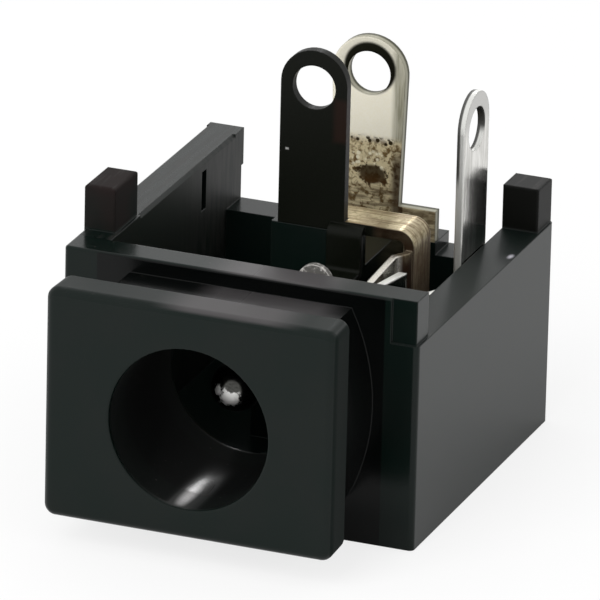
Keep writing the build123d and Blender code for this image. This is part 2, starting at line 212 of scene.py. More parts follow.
edge_wear, given, give = new_group("edge_wear", {"Radius": 0.1}, {"Mask": float, "Normal": tuple})
radius = combine(edge_wear, "MULTIPLY", given["Radius"], MM)
rounded = add(edge_wear, "Bevel", {"Radius": radius}, samples=BEVEL_SAMPLES).outputs[0]
own_normal = add(edge_wear, "NewGeometry").outputs["Normal"]
normals = {0: rounded, 1: own_normal}
agreement = add(edge_wear, "VectorMath", normals, operation="DOT_PRODUCT").outputs["Value"]
give("Mask", spread(edge_wear, agreement, STILL_FLAT, ON_EDGE))
give("Normal", rounded)
print("edge wear counts from", round(math.degrees(math.acos(STILL_FLAT))), "degrees of lean")

# %% [markdown]
# ### Grain and lines
# Grain is fine noise, for the skin that a mould or a pickling bath leaves. Lines are the same noise on a
# stretched place, as rolling leaves them on sheet and a lathe on a bar. An image would need the mesh
# unwrapped and would blur close up; noise needs neither and stays sharp.

# %% Grain and lines
grain, given, give = new_group("grain", {"Size": 0.1, "Roughness": 0.6}, {"Value": float})
per_mm = combine(grain, "DIVIDE", 1.0, given["Size"])
inputs = {"Vector": millimetres(grain), "Scale": per_mm, "Detail": 3.0, "Roughness": given["Roughness"]}
give("Value", add(grain, "TexNoise", inputs).outputs[0])

sockets = {"Per mm": (1.0, 1.0, 1.0), "Contrast": 0.2}
lines, given, give = new_group("rolled_lines", sockets, {"Value": float})
stretched = {0: millimetres(lines), 1: given["Per mm"]}
stretched = add(lines, "VectorMath", stretched, operation="MULTIPLY").outputs[0]
inputs = {"Vector": stretched, "Scale": 1.0, "Detail": 3.0, "Roughness": 0.6}
noise = add(lines, "TexNoise", inputs).outputs[0]
low = combine(lines, "SUBTRACT", 0.5, given["Contrast"])
high = combine(lines, "ADD", 0.5, given["Contrast"])
give("Value", spread(lines, noise, low, high))

# %% [markdown]
# ### Blots
# Dust, stains and droplets are noise cut off at a level: the lower the level, the more of the surface they
# cover. Detail frays their rims, and a seed moves them, so no two stains share a pattern.

# %% Blots
sockets = {"Size": 0.6, "Level": 0.55, "Softness": 0.06, "Seed": 0.0}
blots, given, give = new_group("blots", sockets, {"Mask": float})
per_mm = combine(blots, "DIVIDE", 1.0, given["Size"])
inputs = {"Vector": millimetres(blots), "W": given["Seed"], "Scale": per_mm, "Detail": 5.0,
          "Roughness": 0.62, "Distortion": 0.4}
broad = add(blots, "TexNoise", inputs, noise_dimensions="4D").outputs[0]
high = combine(blots, "ADD", given["Level"], given["Softness"])
give("Mask", spread(blots, broad, given["Level"], high))

# %% [markdown]
# ### Zones
# What sits in one place only, such as flux round a wire's eye, needs a mask for that place. A zone is a
# box that fades out beyond its sides. A round zone is an ellipsoid that fades out inside its rim, and a
# noise on its Ragged input frays that rim. Both are worked out from the place on the part, so they need no
# painting.

# %% Zones
sockets = {"Middle": (0.0, 0.0, 0.0), "Half size": (1.0, 1.0, 1.0), "Softness": 0.2}
zone, given, give = new_group("zone", sockets, {"Mask": float})
away = {0: millimetres(zone), 1: given["Middle"]}
away = add(zone, "VectorMath", away, operation="SUBTRACT").outputs[0]
away = add(zone, "VectorMath", {0: away}, operation="ABSOLUTE").outputs[0]
past = add(zone, "VectorMath", {0: away, 1: given["Half size"]}, operation="SUBTRACT").outputs[0]
past = add(zone, "SeparateXYZ", {0: past}).outputs
past_most = either(zone, either(zone, past[0], past[1]), past[2])
give("Mask", spread(zone, past_most, given["Softness"], 0.0))

sockets = {"Middle": (0.0, 0.0, 0.0), "Radii": (1.0, 1.0, 1.0), "Softness": 0.2, "Ragged": 0.0}
round_zone, given, give = new_group("round_zone", sockets, {"Mask": float})
away = {0: millimetres(round_zone), 1: given["Middle"]}
away = add(round_zone, "VectorMath", away, operation="SUBTRACT").outputs[0]
away = add(round_zone, "VectorMath", {0: away, 1: given["Radii"]}, operation="DIVIDE").outputs[0]
away = add(round_zone, "VectorMath", {0: away}, operation="LENGTH").outputs["Value"]
away = combine(round_zone, "ADD", away, given["Ragged"])
full = combine(round_zone, "SUBTRACT", 1.0, given["Softness"])
give("Mask", spread(round_zone, away, 1.0, full))
print("groups:", [group.name for group in bpy.data.node_groups])

# %% [markdown]
# ### Short names for the groups
# Setting a group's inputs one by one takes long where a material needs ten zones, so each group gets a
# short function that gives its one output. A box is easier to think of as two corners than as a middle and
# half a size, so its function turns the one into the other.

# %% Placing the groups by name
FAR = 99.0   # past every side of the jack, in millimetres
HAIR = 0.02  # past a face by this much, so that a zone takes in the face itself


def grained(tree, size, roughness=0.6):
    return place_group(tree, grain, Size=size, Roughness=roughness)["Value"]


def lined(tree, per_mm, contrast):
    """Lines that run along the axis with the lowest number per millimetre."""
    return place_group(tree, lines, **{"Per mm": per_mm, "Contrast": contrast})["Value"]


def blotted(tree, size, level, softness, seed):
    return place_group(tree, blots, Size=size, Level=level, Softness=softness, Seed=seed)["Mask"]

# %% Placing zones
def zone_between(tree, low, high, softness):
    """The mask of a box between two corners."""
    low, high = Vector(low), Vector(high)
    inputs = {"Middle": (low + high) / 2, "Half size": (high - low) / 2, "Softness": softness}
    return place_group(tree, zone, **inputs)["Mask"]


def round_patch(tree, middle, radii, softness, ragged=0.0):
    inputs = {"Middle": middle, "Radii": radii, "Softness": softness, "Ragged": ragged}
    return place_group(tree, round_zone, **inputs)["Mask"]

# %% Relief, and a note on the size of the graph
def tell(tree, what):
    print(what + ":", len(tree.nodes), "nodes so far")


def relief(tree, heights, edges, strength, depth=0.01):
    """The normal of bumps up to depth millimetres high, on top of the rounded edges."""
    inputs = {"Height": heights, "Normal": edges["Normal"], "Strength": strength, "Distance": depth * MM}
    return add(tree, "Bump", inputs).outputs[0]

# %% [markdown]
# ## Studio
# Black plastic has almost no colour of its own: what the eye reads as its shape is what it mirrors. So the
# jack stands on wide white paper under an even white sky, and its faces differ by how steeply each is
# seen. The paper is lit like any other surface, but where the camera or a mirror looks at it, part of its
# brightness is its own. It then looks white without more light on the jack, and the soft shadow stays. The
# paper lies a hair below the jack, because two faces in one plane would flicker.

# %% Floor
FLOOR_GAP = 0.02 * MM
FLOOR_HEIGHT = cad_box[0].z - FLOOR_GAP
PAPER_SIDE = 6.0
PAPER_WHITE = rgb(0.75, 0.75, 0.75)
GLOW_WHITE = rgb(1.0, 1.0, 1.0)
OWN_SHARE_SEEN = 0.78
OWN_SHARE_MIRRORED = 0.2

bpy.ops.mesh.primitive_plane_add(size=PAPER_SIDE, location=(0, 0, FLOOR_HEIGHT))
floor = bpy.context.object
floor.name = "floor"
paper = bpy.data.materials.new("white_paper")
paper.use_nodes = True
tree = paper.node_tree
tree.nodes.clear()
lit = add(tree, "BsdfDiffuse", {"Color": PAPER_WHITE}).outputs[0]
own = add(tree, "Emission", {"Color": GLOW_WHITE, "Strength": 1.0}).outputs[0]
rays = add(tree, "LightPath").outputs
mirrored = either(tree, rays["Is Glossy Ray"], rays["Is Transmission Ray"])
seen = both(tree, rays["Is Camera Ray"], OWN_SHARE_SEEN)
share = either(tree, both(tree, mirrored, OWN_SHARE_MIRRORED), seen)
surface = add(tree, "MixShader", {0: share, 1: lit, 2: own}).outputs[0]
add(tree, "OutputMaterial", {"Surface": surface})
floor.data.materials.append(paper)
print("paper at", round(FLOOR_HEIGHT / MM, 2), "mm")

# %% [markdown]
# ### Sky and softboxes
# The sky gives most of the light. The key box shapes the metal. The front box fills in the colours of dark
# faces and is hidden from mirrors, so it leaves no patch on the gloss. The back box is small and placed
# where the bottom of the bore mirrors it, as one lit window would do.

# %% Sky
SKY_WHITE = rgb(1.0, 1.0, 1.0)
SKY_STRENGTH = 1.0

world = bpy.data.worlds.new("studio")
bpy.context.scene.world = world
world.use_nodes = True
sky = world.node_tree.nodes["Background"]
sky.inputs["Color"].default_value = SKY_WHITE
sky.inputs["Strength"].default_value = SKY_STRENGTH
print("sky", SKY_WHITE[:3], "at", SKY_STRENGTH)

# %% Softboxes
def softbox(name, place, width, height, watts):
    """A lamp at a place in metres from the middle of the jack, aimed at it."""
    lamp = bpy.data.objects.new(name, bpy.data.lights.new(name, "AREA"))
    bpy.context.scene.collection.objects.link(lamp)
    lamp.data.shape = "RECTANGLE"
    lamp.data.size = width
    lamp.data.size_y = height
    lamp.data.energy = watts
    middle = (cad_box[0] + cad_box[1]) / 2
    lamp.location = middle + Vector(place)
    lamp.rotation_mode = "QUATERNION"
    lamp.rotation_quaternion = (middle - lamp.location).to_track_quat("-Z", "Y")
    radiance = watts / (math.pi * width * height)
    print(name, "shines with", round(radiance, 1), "W per square metre and steradian")
    return lamp


softbox("key_box", place=(0.16, 0.10, 0.22), width=0.12, height=0.12, watts=0.02)
front_box = softbox("front_box", place=(-0.06, -0.24, 0.21), width=0.2, height=0.2, watts=0.72)
front_box.visible_glossy = False
softbox("back_box", place=(-0.0565, 0.213, 0.1180), width=0.018, height=0.045, watts=0.030)

# %% [markdown]
# ## Materials
# Each node of the frame keeps its mesh and gets one material in its slot. Where a finish changes at a step
# or a bend, the place of that step is read from the mesh's own corners, so the finish follows the part.

# %% A material on a node
def material(name, slot):
    made = bpy.data.materials.new(name)
    made.use_nodes = True
    node = nodes[slot]
    node.data.materials.clear()
    node.data.materials.append(made)
    print(name, "on", slot)
    return made.node_tree, made.node_tree.nodes["Principled BSDF"]


def connect(tree, shader, **inputs):
    for name, value in inputs.items():
        tree.links.new(value, shader.inputs[name.replace("_", " ")])


def corners_of(slot):
    """The corners of a node's mesh, in millimetres."""
    return [vertex.co / MM for vertex in nodes[slot].data.vertices]

# %% [markdown]
# ### Black moulding
# The housing is thermoplastic from a polished steel mould: nearly black, a trace of green, satin on its
# faces and rubbed lighter along its edges and tops. Specular IOR Level is low, as on soot-filled plastic,
# so the front stays deep while faces that are seen at a slant still shine. A rough face seen at a slant
# shines less than a smooth one, and that alone sets off the posts and the flange's rim, which the mould
# left matt.

# %% Black moulding: where it changes
housing_low, housing_high = (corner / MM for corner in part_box("housing"))
moulded = corners_of("housing")
box_side = housing_high.x
groove = mounts["panel_groove"].y
box_middle = mounts["base"].y
flange_back = max(corner.y for corner in moulded if corner.y < groove)
flange_side = max(corner.x for corner in moulded if corner.y < groove)
box_front = min(corner.y for corner in moulded if corner.y > groove)
wall_inside = min(corner.y for corner in moulded if corner.y > box_front + 0.5)
rim_top = max(corner.z for corner in moulded if abs(corner.x) < 1.0)
by_side = [corner for corner in moulded if corner.x > box_side - 0.2]
wall_top = max(corner.z for corner in by_side if corner.y < box_middle)
ledge = min(corner.z for corner in by_side if corner.z > 0)
bore_edge = min(corner.xz.length for corner in moulded if corner.y < 0.01)
print("flange back", round(flange_back, 2), "flange side", round(flange_side, 2))
print("box front", round(box_front, 2), "wall inside", round(wall_inside, 2), "bore", round(bore_edge, 2))
print("rim top", round(rim_top, 2), "wall top", round(wall_top, 2), "ledge", round(ledge, 2))

# %% Black moulding: its colours
MOULDING_BLACK, MOULDING_CLOUD = rgb(0.0022, 0.0056, 0.0044), rgb(0.0034, 0.0060, 0.0050)
# painted shade: the darker blacks of the bore and of the groove
BORE_SHADE_BLACK = rgb(0.0016, 0.0026, 0.0022)
GROOVE_SHADE_BLACK = rgb(0.0010, 0.0014, 0.0013)
POST_BROWN = rgb(0.0095, 0.0060, 0.0055)
REAR_POST_BLACK = rgb(0.0012, 0.0014, 0.0008)
# painted sheen: the lighter grey below stands in for a highlight on the tops
SHEEN_GREY = rgb(0.050, 0.047, 0.048)
RUBBED_GREY = rgb(0.030, 0.027, 0.026)
DRAWN_GREY = rgb(0.032, 0.031, 0.029)
CHIPPED_GREY = rgb(0.022, 0.023, 0.022)
DUST_GREY = rgb(0.055, 0.05, 0.045)
# painted highlights: the pale glint on the ledge and the pale streak in the bore
LEDGE_GLINT_GREY = rgb(0.36, 0.35, 0.39)
BORE_HIGHLIGHT_GREY = rgb(0.55, 0.54, 0.54)

# %% [markdown]
# The bore and the groove are painted a darker black, which is painted shade; the high posts get a mottled
# brown tone and the rear post a darker black. Each needs a zone. A mask painted by hand would have to be
# painted again after each change to the part; zones that start from its measures move with it.

# %% Black moulding: zones
MOULDING_SPECULAR = 0.17
SIDE_BAND = 2.0  # from an outer side inwards, wider than a wall or a post
MOUTH = 0.3      # depth of the bore's rounded mouth

tree, shader = material("black_moulding", "housing")
shader.inputs["Specular IOR Level"].default_value = MOULDING_SPECULAR
place = place_axes(tree)
facing = facing_axes(tree)
upward = spread(tree, facing[2], TURNED, SQUARE_ON)
above_walls = spread(tree, place[2], wall_top + HAIR, wall_top + 0.12)
high_posts = both(tree, above_walls, spread(tree, place[1], groove, box_front))
rear_post_low = (box_side - SIDE_BAND, box_middle, ledge + 0.06)
rear_post = zone_between(tree, rear_post_low, (FAR, FAR, FAR), softness=0.05)
posts = either(tree, high_posts, rear_post)
bore_low, bore_high = (-bore_edge, MOUTH, -bore_edge), (bore_edge, box_front + 1.0, bore_edge)
in_bore = zone_between(tree, bore_low, bore_high, softness=MOUTH)
groove_low, groove_high = (-flange_side, flange_back - HAIR, -FAR), (flange_side, box_front + HAIR, FAR)
in_groove = zone_between(tree, groove_low, groove_high, softness=HAIR)
tell(tree, "zones")

# %% Black moulding: base colour
fine = grained(tree, size=0.05)
cloudy = grained(tree, size=3.0, roughness=0.5)
colour = blend(tree, spread(tree, cloudy, 0.35, 0.65), MOULDING_BLACK, MOULDING_CLOUD)
# painted shade: the inside of the bore is painted a darker black
colour = blend(tree, in_bore, colour, BORE_SHADE_BLACK)
colour = blend(tree, both(tree, high_posts, spread(tree, cloudy, 0.3, 0.6)), colour, POST_BROWN)
colour = blend(tree, rear_post, colour, REAR_POST_BLACK)
# painted shade: the groove between the flange and the box is painted a darker black
colour = blend(tree, in_groove, colour, GROOVE_SHADE_BLACK)
tell(tree, "base colour")

# %% [markdown]
# The tops of the walls are rubbed in streaks along the box, and a lighter grey on the tops near the middle
# is painted sheen.
# Inside the left wall the mould dragged as it opened and left upright marks. Chips and dust sit on edges
# and tops.

# %% Black moulding: rubs and drawn marks
RUB_LINES, DRAWN_LINES = (5.0, 0.35, 5.0), (0.0, 4.0, 0.5)

behind_wall = spread(tree, place[1], wall_inside, wall_inside + 0.1)
tops = both(tree, both(tree, upward, behind_wall), spread(tree, place[2], wall_top - 0.4, wall_top - 0.1))
# painted sheen: a lighter grey on upward faces near the middle, over the flange's top and the front wall's
# top
sheen_low, sheen_high = (0.0, -1.0, wall_top), (2.8, wall_inside, rim_top + 0.5)
painted_sheen = both(tree, upward, zone_between(tree, sheen_low, sheen_high, softness=1.8))
colour = blend(tree, painted_sheen, colour, SHEEN_GREY)
rubs = lined(tree, RUB_LINES, contrast=0.2)
rubbed = both(tree, tops, spread(tree, rubs, 0.5, 1.0, 0.0, 0.45))
colour = blend(tree, rubbed, colour, RUBBED_GREY)

inner_left = both(tree, spread(tree, facing[0], TURNED, NEARLY_SQUARE), spread(tree, place[0], -2.0, -4.0))
drawn = both(tree, inner_left, lined(tree, DRAWN_LINES, contrast=0.16))
drawn = both(tree, drawn, spread(tree, place[1], box_middle - 1.0, box_middle + 5.0))
colour = blend(tree, both(tree, drawn, 0.6), colour, DRAWN_GREY)
tell(tree, "rubs and drawn marks")

# %% Black moulding: chips and dust
EDGE_RADIUS, POST_RADIUS = 0.07, 0.16

edges = place_group(tree, edge_wear, Radius=spread(tree, posts, 0.0, 1.0, EDGE_RADIUS, POST_RADIUS))
chipped = both(tree, edges["Mask"], spread(tree, fine, 0.4, 0.7, 0.1, 0.7))
kept_dark = either(tree, in_bore, both(tree, posts, 0.8))
colour = blend(tree, both(tree, chipped, outside(tree, kept_dark)), colour, CHIPPED_GREY)
dust = both(tree, upward, blotted(tree, size=0.12, level=0.67, softness=0.03, seed=7.0))
colour = blend(tree, dust, colour, DUST_GREY)
tell(tree, "chips and dust")

# %% [markdown]
# A small pale glint on the ledge is a painted highlight, and so is a pale streak on the bottom of the bore
# near its mouth, which carries the back box's highlight out to the mouth. Both are ellipsoids that fade
# from
# the middle out: the part's surface cuts them, and the cut is the mark.

# %% Black moulding: a painted glint on the ledge and a painted highlight in the bore
LEDGE_GLINT_MIDDLE, LEDGE_GLINT_RADII = (box_side - 0.18, mounts["switch_lug_eye"].y + 0.32, ledge), (0.17, 0.36, 0.2)
BORE_HIGHLIGHT_MIDDLE, BORE_HIGHLIGHT_RADII = (-0.40, 1.35, -bore_edge), (0.36, 1.7, 1.0)

# painted highlight: a pale glint on the ledge
ledge_glint = round_patch(tree, LEDGE_GLINT_MIDDLE, LEDGE_GLINT_RADII, softness=1.0)
colour = blend(tree, ledge_glint, colour, LEDGE_GLINT_GREY)
# painted highlight: a pale streak along the bottom of the bore near its mouth
bore_highlight = round_patch(tree, BORE_HIGHLIGHT_MIDDLE, BORE_HIGHLIGHT_RADII, softness=0.9)
bore_highlight = both(tree, bore_highlight, spread(tree, place[1], 0.1, 0.4))
colour = blend(tree, both(tree, bore_highlight, noise_onto(tree, fine, 0.6, 0.95)), colour, BORE_HIGHLIGHT_GREY)
tell(tree, "bruise and scuff")

# %% [markdown]
# Roughness starts as an even satin and is raised zone by zone; taking the higher of two values means that
# no zone makes another one glossier. The bore is matt, but for a track along its bottom that plugs have
# polished.

# %% Black moulding: where the gloss changes
TRACK_MIDDLE, TRACK_RADII = (-0.25, groove, -bore_edge), (0.85, FAR, 1.0)
TRACK_END = groove - 1.6

sideways = combine(tree, "ABSOLUTE", facing[0])
matt_rim = spread(tree, combine(tree, "ABSOLUTE", place[0]), flange_side - 0.4, flange_side - 0.15)
matt_rim = both(tree, matt_rim, spread(tree, place[1], flange_back + 0.1, flange_back - 0.05))
matt_rim = both(tree, matt_rim, spread(tree, sideways, 0.6, SQUARE_ON))
plug_track = round_patch(tree, TRACK_MIDDLE, TRACK_RADII, softness=0.8)
plug_track = both(tree, plug_track, spread(tree, place[1], box_front, TRACK_END))
outer_side = spread(tree, place[0], box_side - 0.3, box_side - 0.1)
outer_side = both(tree, spread(tree, facing[0], TURNED, NEARLY_SQUARE), outer_side)
on_ledge = both(tree, upward, spread(tree, place[0], housing_low.x + SIDE_BAND, box_side - SIDE_BAND))
flange_top = both(tree, upward, spread(tree, place[1], flange_back + 0.1, flange_back))
tell(tree, "gloss zones")

# %% Black moulding: gloss and relief
SATIN_LOW, SATIN_HIGH = 0.17, 0.25
ROUGH_SIDE, ROUGH_LEDGE, ROUGH_INSIDE, ROUGH_FLANGE_TOP = 0.3, 0.48, 0.5, 0.5
ROUGH_REAR_POST, ROUGH_HIGH_POSTS, ROUGH_BORE, ROUGH_RIM = 0.55, 0.78, 0.85, 0.95

rough = noise_onto(tree, fine, SATIN_LOW, SATIN_HIGH)
streaky = both(tree, spread(tree, rubs, 0.2, 0.9, 0.08, 0.2), tops)
rough = combine(tree, "ADD", rough, both(tree, upward, streaky))
rough = at_least(tree, rough, inner_left, ROUGH_INSIDE)
rough = at_least(tree, rough, both(tree, in_bore, outside(tree, plug_track)), ROUGH_BORE)
rough = at_least(tree, rough, outer_side, ROUGH_SIDE)
rough = at_least(tree, rough, on_ledge, ROUGH_LEDGE)
rough = at_least(tree, rough, high_posts, ROUGH_HIGH_POSTS)
rough = at_least(tree, rough, rear_post, ROUGH_REAR_POST)
rough = at_least(tree, rough, matt_rim, ROUGH_RIM)
rough = at_least(tree, rough, flange_top, ROUGH_FLANGE_TOP)
connect(tree, shader, Base_Color=colour, Roughness=rough, Normal=relief(tree, fine, edges, strength=0.12))
tell(tree, "black moulding")

# %% [markdown]
# ### Sleeve contact
# One strip of brass makes the lug, the plate, the leg and the springs. The lug and the tongue have gone
# almost black, the plate and the leg have tarnished in the lines of the rolling mill, and the spring ends
# that a plug rubs stay bright. Four materials on four pieces could do it, but it is one strip, so one
# material tells its zones apart. The black is an oxide and no metal, so Metallic falls to zero in its
# zone.

# %% Sleeve contact: where it changes
strip = corners_of("sleeve_contact")
sleeve_eye = mounts["sleeve_lug_eye"]
lug = [corner for corner in strip if corner.z > sleeve_eye.z]
lug_side = max(corner.x for corner in lug)
lug_front = min(corner.y for corner in lug)
lug_back = max(corner.y for corner in lug)
plate_top = max(corner.z for corner in strip if corner.x > sleeve_eye.x + lug_side + 1.0)
tongue = [corner for corner in strip if corner.y < lug_front - 1.0 and corner.x < sleeve_eye.x + 2.6]
tongue_tip = min(corner.y for corner in tongue)
tongue_side = max(corner.x for corner in tongue)
print("lug", round(lug_side, 2), round(lug_front, 2), round(lug_back, 2), "plate top", round(plate_top, 2))
print("tongue tip", round(tongue_tip, 2), "tongue side", round(tongue_side, 2))

# %% Sleeve contact: its colours
BRASS_DARK, BRASS_LIGHT = rgb(0.21, 0.145, 0.072), rgb(0.58, 0.505, 0.34)
SPECKLE_OLIVE = rgb(0.19, 0.155, 0.055)
STAIN_BROWN = rgb(0.13, 0.075, 0.035)
LOW_BROWN = rgb(0.060, 0.036, 0.025)
LEG_BROWN = rgb(0.028, 0.013, 0.007)
SHADED_BROWN = rgb(0.016, 0.007, 0.004)
BARE_BRASS = rgb(0.62, 0.55, 0.4)
SPRING_BRIGHT = rgb(0.80, 0.77, 0.70)
OXIDE_DARK, OXIDE_LIGHT = rgb(0.0018, 0.0024, 0.0012), rgb(0.0036, 0.0042, 0.0026)
OXIDE_BROWN = rgb(0.014, 0.006, 0.004)
NICK_GREY = rgb(0.25, 0.25, 0.24)
# painted highlight: the tongue tip's lighter grey and its brighter spots
TIP_SHEEN_GREY, TIP_HIGHLIGHT = rgb(0.10, 0.096, 0.09), rgb(0.60, 0.58, 0.55)

# %% Sleeve contact: zones
BRASS_SPECULAR = 0.12

tree, shader = material("tarnished_brass", "sleeve_contact")
shader.inputs["Specular IOR Level"].default_value = BRASS_SPECULAR
place = place_axes(tree)
forward = spread(tree, facing_axes(tree)[1], -TURNED, -SQUARE_ON)
lug_high = (lug_side + 0.03, lug_back + HAIR, FAR)
on_lug = zone_between(tree, (-FAR, -FAR, plate_top - 0.5), lug_high, softness=0.04)
tongue_high = (tongue_side + 0.4, lug_front - HAIR, FAR)
on_tongue = zone_between(tree, (-FAR, -FAR, -FAR), tongue_high, softness=0.08)
by_tongue = both(tree, forward, spread(tree, place[0], tongue_side + 0.9, tongue_side + 0.2))
by_tongue = both(tree, by_tongue, spread(tree, place[2], plate_top - 0.8, plate_top - 0.6))
oxide = either(tree, either(tree, on_lug, on_tongue), by_tongue)
spring = both(tree, spread(tree, place[1], lug_front - 0.5, lug_front - 0.9), outside(tree, oxide))
low_down = spread(tree, place[2], plate_top - 0.1, plate_top - 1.4)
beside_leaf = both(tree, low_down, spread(tree, place[1], lug_front + 0.1, lug_front - 0.1))
tell(tree, "zones")

# %% [markdown]
# Tarnish starts in the lines of the mill, as they hold dirt. Olive speckles and brown stains lie over
# them, the leg darkens on its way down into the box, and the edges are rubbed bare. Each is one blend over
# the last, with a share below 1, so that what lies under it still shows.

# %% Sleeve contact: tarnished brass
MILL_LINES = (0.3, 7.0, 1.2)

edges = place_group(tree, edge_wear, Radius=0.08)
fine = grained(tree, size=0.06)
rolled = lined(tree, MILL_LINES, contrast=0.22)
stain = blotted(tree, size=0.8, level=0.44, softness=0.2, seed=3.0)
speckle = blotted(tree, size=0.22, level=0.52, softness=0.08, seed=5.0)
brass = blend(tree, spread(tree, rolled, 0.05, 0.75), BRASS_DARK, BRASS_LIGHT)
brass = blend(tree, both(tree, speckle, 0.55), brass, SPECKLE_OLIVE)
brass = blend(tree, both(tree, stain, 0.45), brass, STAIN_BROWN)
brass = blend(tree, both(tree, low_down, 0.8), brass, LOW_BROWN)
brass = blend(tree, both(tree, forward, 0.9), brass, LEG_BROWN)
brass = blend(tree, both(tree, beside_leaf, 0.95), brass, SHADED_BROWN)
brass = blend(tree, both(tree, edges["Mask"], 0.25), brass, BARE_BRASS)
brass = blend(tree, spring, brass, SPRING_BRIGHT)
tell(tree, "brass")

# %% [markdown]
# The oxide is even, brown where heat has crept along the lug's right edge, and broken by one small nick.
# At the tongue's tip the oxide is painted a lighter grey, with brighter spots on the edges and in blots:
# painted highlights.

# %% Sleeve contact: black oxide
brown_low = (sleeve_eye.x + 1.0, -FAR, sleeve_eye.z - 1.9)
brown_high = (FAR, FAR, sleeve_eye.z - 0.5)
nick_low = (sleeve_eye.x - 1.07, -FAR, sleeve_eye.z - 2.62)
nick_high = (sleeve_eye.x - 0.99, FAR, sleeve_eye.z - 2.59)

black = blend(tree, spread(tree, fine, 0.35, 0.65), OXIDE_DARK, OXIDE_LIGHT)
brown_edge = zone_between(tree, brown_low, brown_high, softness=0.3)
black = blend(tree, both(tree, brown_edge, 0.7), black, OXIDE_BROWN)
nick = both(tree, zone_between(tree, nick_low, nick_high, softness=0.05), forward)
black = blend(tree, nick, black, NICK_GREY)
# painted highlight: the tongue's tip is painted a lighter grey, and brighter still on its edges and in
# blots
at_tip = spread(tree, place[1], tongue_tip + 0.9, tongue_tip + 0.5)
black = blend(tree, at_tip, black, TIP_SHEEN_GREY)
painted_sparkles = blotted(tree, size=0.2, level=0.5, softness=0.2, seed=9.0)
tip_highlight = both(tree, at_tip, either(tree, edges["Mask"], painted_sparkles))
black = blend(tree, tip_highlight, black, TIP_HIGHLIGHT)
colour = blend(tree, oxide, brass, black)
tell(tree, "oxide")

# %% Sleeve contact: gloss and relief
BRASS_SATIN_LOW, BRASS_SATIN_HIGH = 0.30, 0.40
OXIDE_ROUGHER, SPRING_SMOOTHER = 0.08, 0.16

dulled = both(tree, both(tree, low_down, 0.7), outside(tree, spring))
metal = outside(tree, either(tree, oxide, dulled))
rough = noise_onto(tree, fine, BRASS_SATIN_LOW, BRASS_SATIN_HIGH)
rough = combine(tree, "ADD", rough, both(tree, oxide, OXIDE_ROUGHER))
rough = combine(tree, "SUBTRACT", rough, both(tree, spring, SPRING_SMOOTHER))
bumps = relief(tree, fine, edges, strength=0.2)
connect(tree, shader, Base_Color=colour, Roughness=rough, Metallic=metal, Normal=bumps)
tell(tree, "sleeve contact")

# %% [markdown]
# ### Pin terminal
# The rear lug is tinned brass. Its faces are satin cream, its cut edges were stamped after plating and
# show grey, and soldering has left marks: a dark crescent of burnt flux round the eye, and lower down a
# golden patch with brown drops. All of it lies on the faces, so a mask of how squarely a face looks
# forward or back keeps it off the cut edges.

# %% Pin terminal: where it changes
terminal = corners_of("pin_terminal")
pin_eye = mounts["pin_lug_eye"]
lug = [corner for corner in terminal if corner.z > pin_eye.z]
lug_face = min(corner.y for corner in lug)
lug_back = max(corner.y for corner in lug)
lug_side = max(corner.x for corner in lug)
FLUX_TOP = pin_eye.z - 2.55
FLUX_DROP = Vector((0.24, lug_face, pin_eye.z - 4.10))
CRESCENT = pin_eye + Vector((0.03, 0.0, 0.19))
print("pin lug", round(lug_side, 2), "face", round(lug_face, 2), "back", round(lug_back, 2))

# %% Pin terminal: its colours
TIN_CREAM, TIN_PALE = rgb(0.96, 0.91, 0.74), rgb(0.98, 0.94, 0.80)
CUT_GREY, CUT_DARK = rgb(0.30, 0.29, 0.22), rgb(0.045, 0.044, 0.02)
MARGIN_REFLECTION_GREY = rgb(0.19, 0.185, 0.12)
FLUX_GOLD, FLUX_MOTTLE = rgb(0.78, 0.67, 0.42), rgb(0.19, 0.12, 0.045)
MARGIN_REFLECTION_BROWN = rgb(0.036, 0.020, 0.012)
SHOULDER_GOLD = rgb(0.48, 0.41, 0.26)
SPOT_BROWN = rgb(0.035, 0.022, 0.006)
DROP_LOW, DROP_HIGH = rgb(0.050, 0.022, 0.006), rgb(0.020, 0.010, 0.002)
BAND_BROWN = rgb(0.09, 0.05, 0.02)
GLINT_CREAM = rgb(0.95, 0.88, 0.66)
RIM_SHADE_GREY = rgb(0.36, 0.35, 0.29)
EDGE_GREY = rgb(0.25, 0.24, 0.19)
BURNT_BLACK = rgb(0.008, 0.009, 0.003)

# %% Pin terminal: tin plate and cut edges
TIN_SPECULAR = 0.3
MARGIN_LINES = (7.0, 0.0, 0.4)

tree, shader = material("fluxed_tin", "pin_terminal")
shader.inputs["Specular IOR Level"].default_value = TIN_SPECULAR
edges = place_group(tree, edge_wear, Radius=0.1)
fine = grained(tree, size=0.06)
place = place_axes(tree)
face = spread(tree, combine(tree, "ABSOLUTE", facing_axes(tree)[1]), TURNED, SQUARE_ON)
tin = blend(tree, noise_onto(tree, fine, 0.0, 1.0), TIN_CREAM, TIN_PALE)
cut_edge = blend(tree, spread(tree, place[1], lug_back - 0.24, lug_back - 0.12), CUT_GREY, CUT_DARK)
# painted reflection: darker grey streaks down the face near its right side
margin = spread(tree, place[0], lug_side - 0.60, lug_side - 0.30)
streaked = lined(tree, MARGIN_LINES, contrast=0.2)
tin = blend(tree, both(tree, margin, spread(tree, streaked, 0.0, 1.0, 0.6, 0.95)), tin, MARGIN_REFLECTION_GREY)
colour = blend(tree, face, cut_edge, tin)
tell(tree, "tin and cut edges")

# %% [markdown]
# Flux runs down hot metal and sets like varnish: golden where it is thin, brown where it is thick. The
# patch starts at one height with a soft front, mottled by blots. Its right margin is painted darker above
# the shoulder, a painted reflection like the grey streaks higher up.

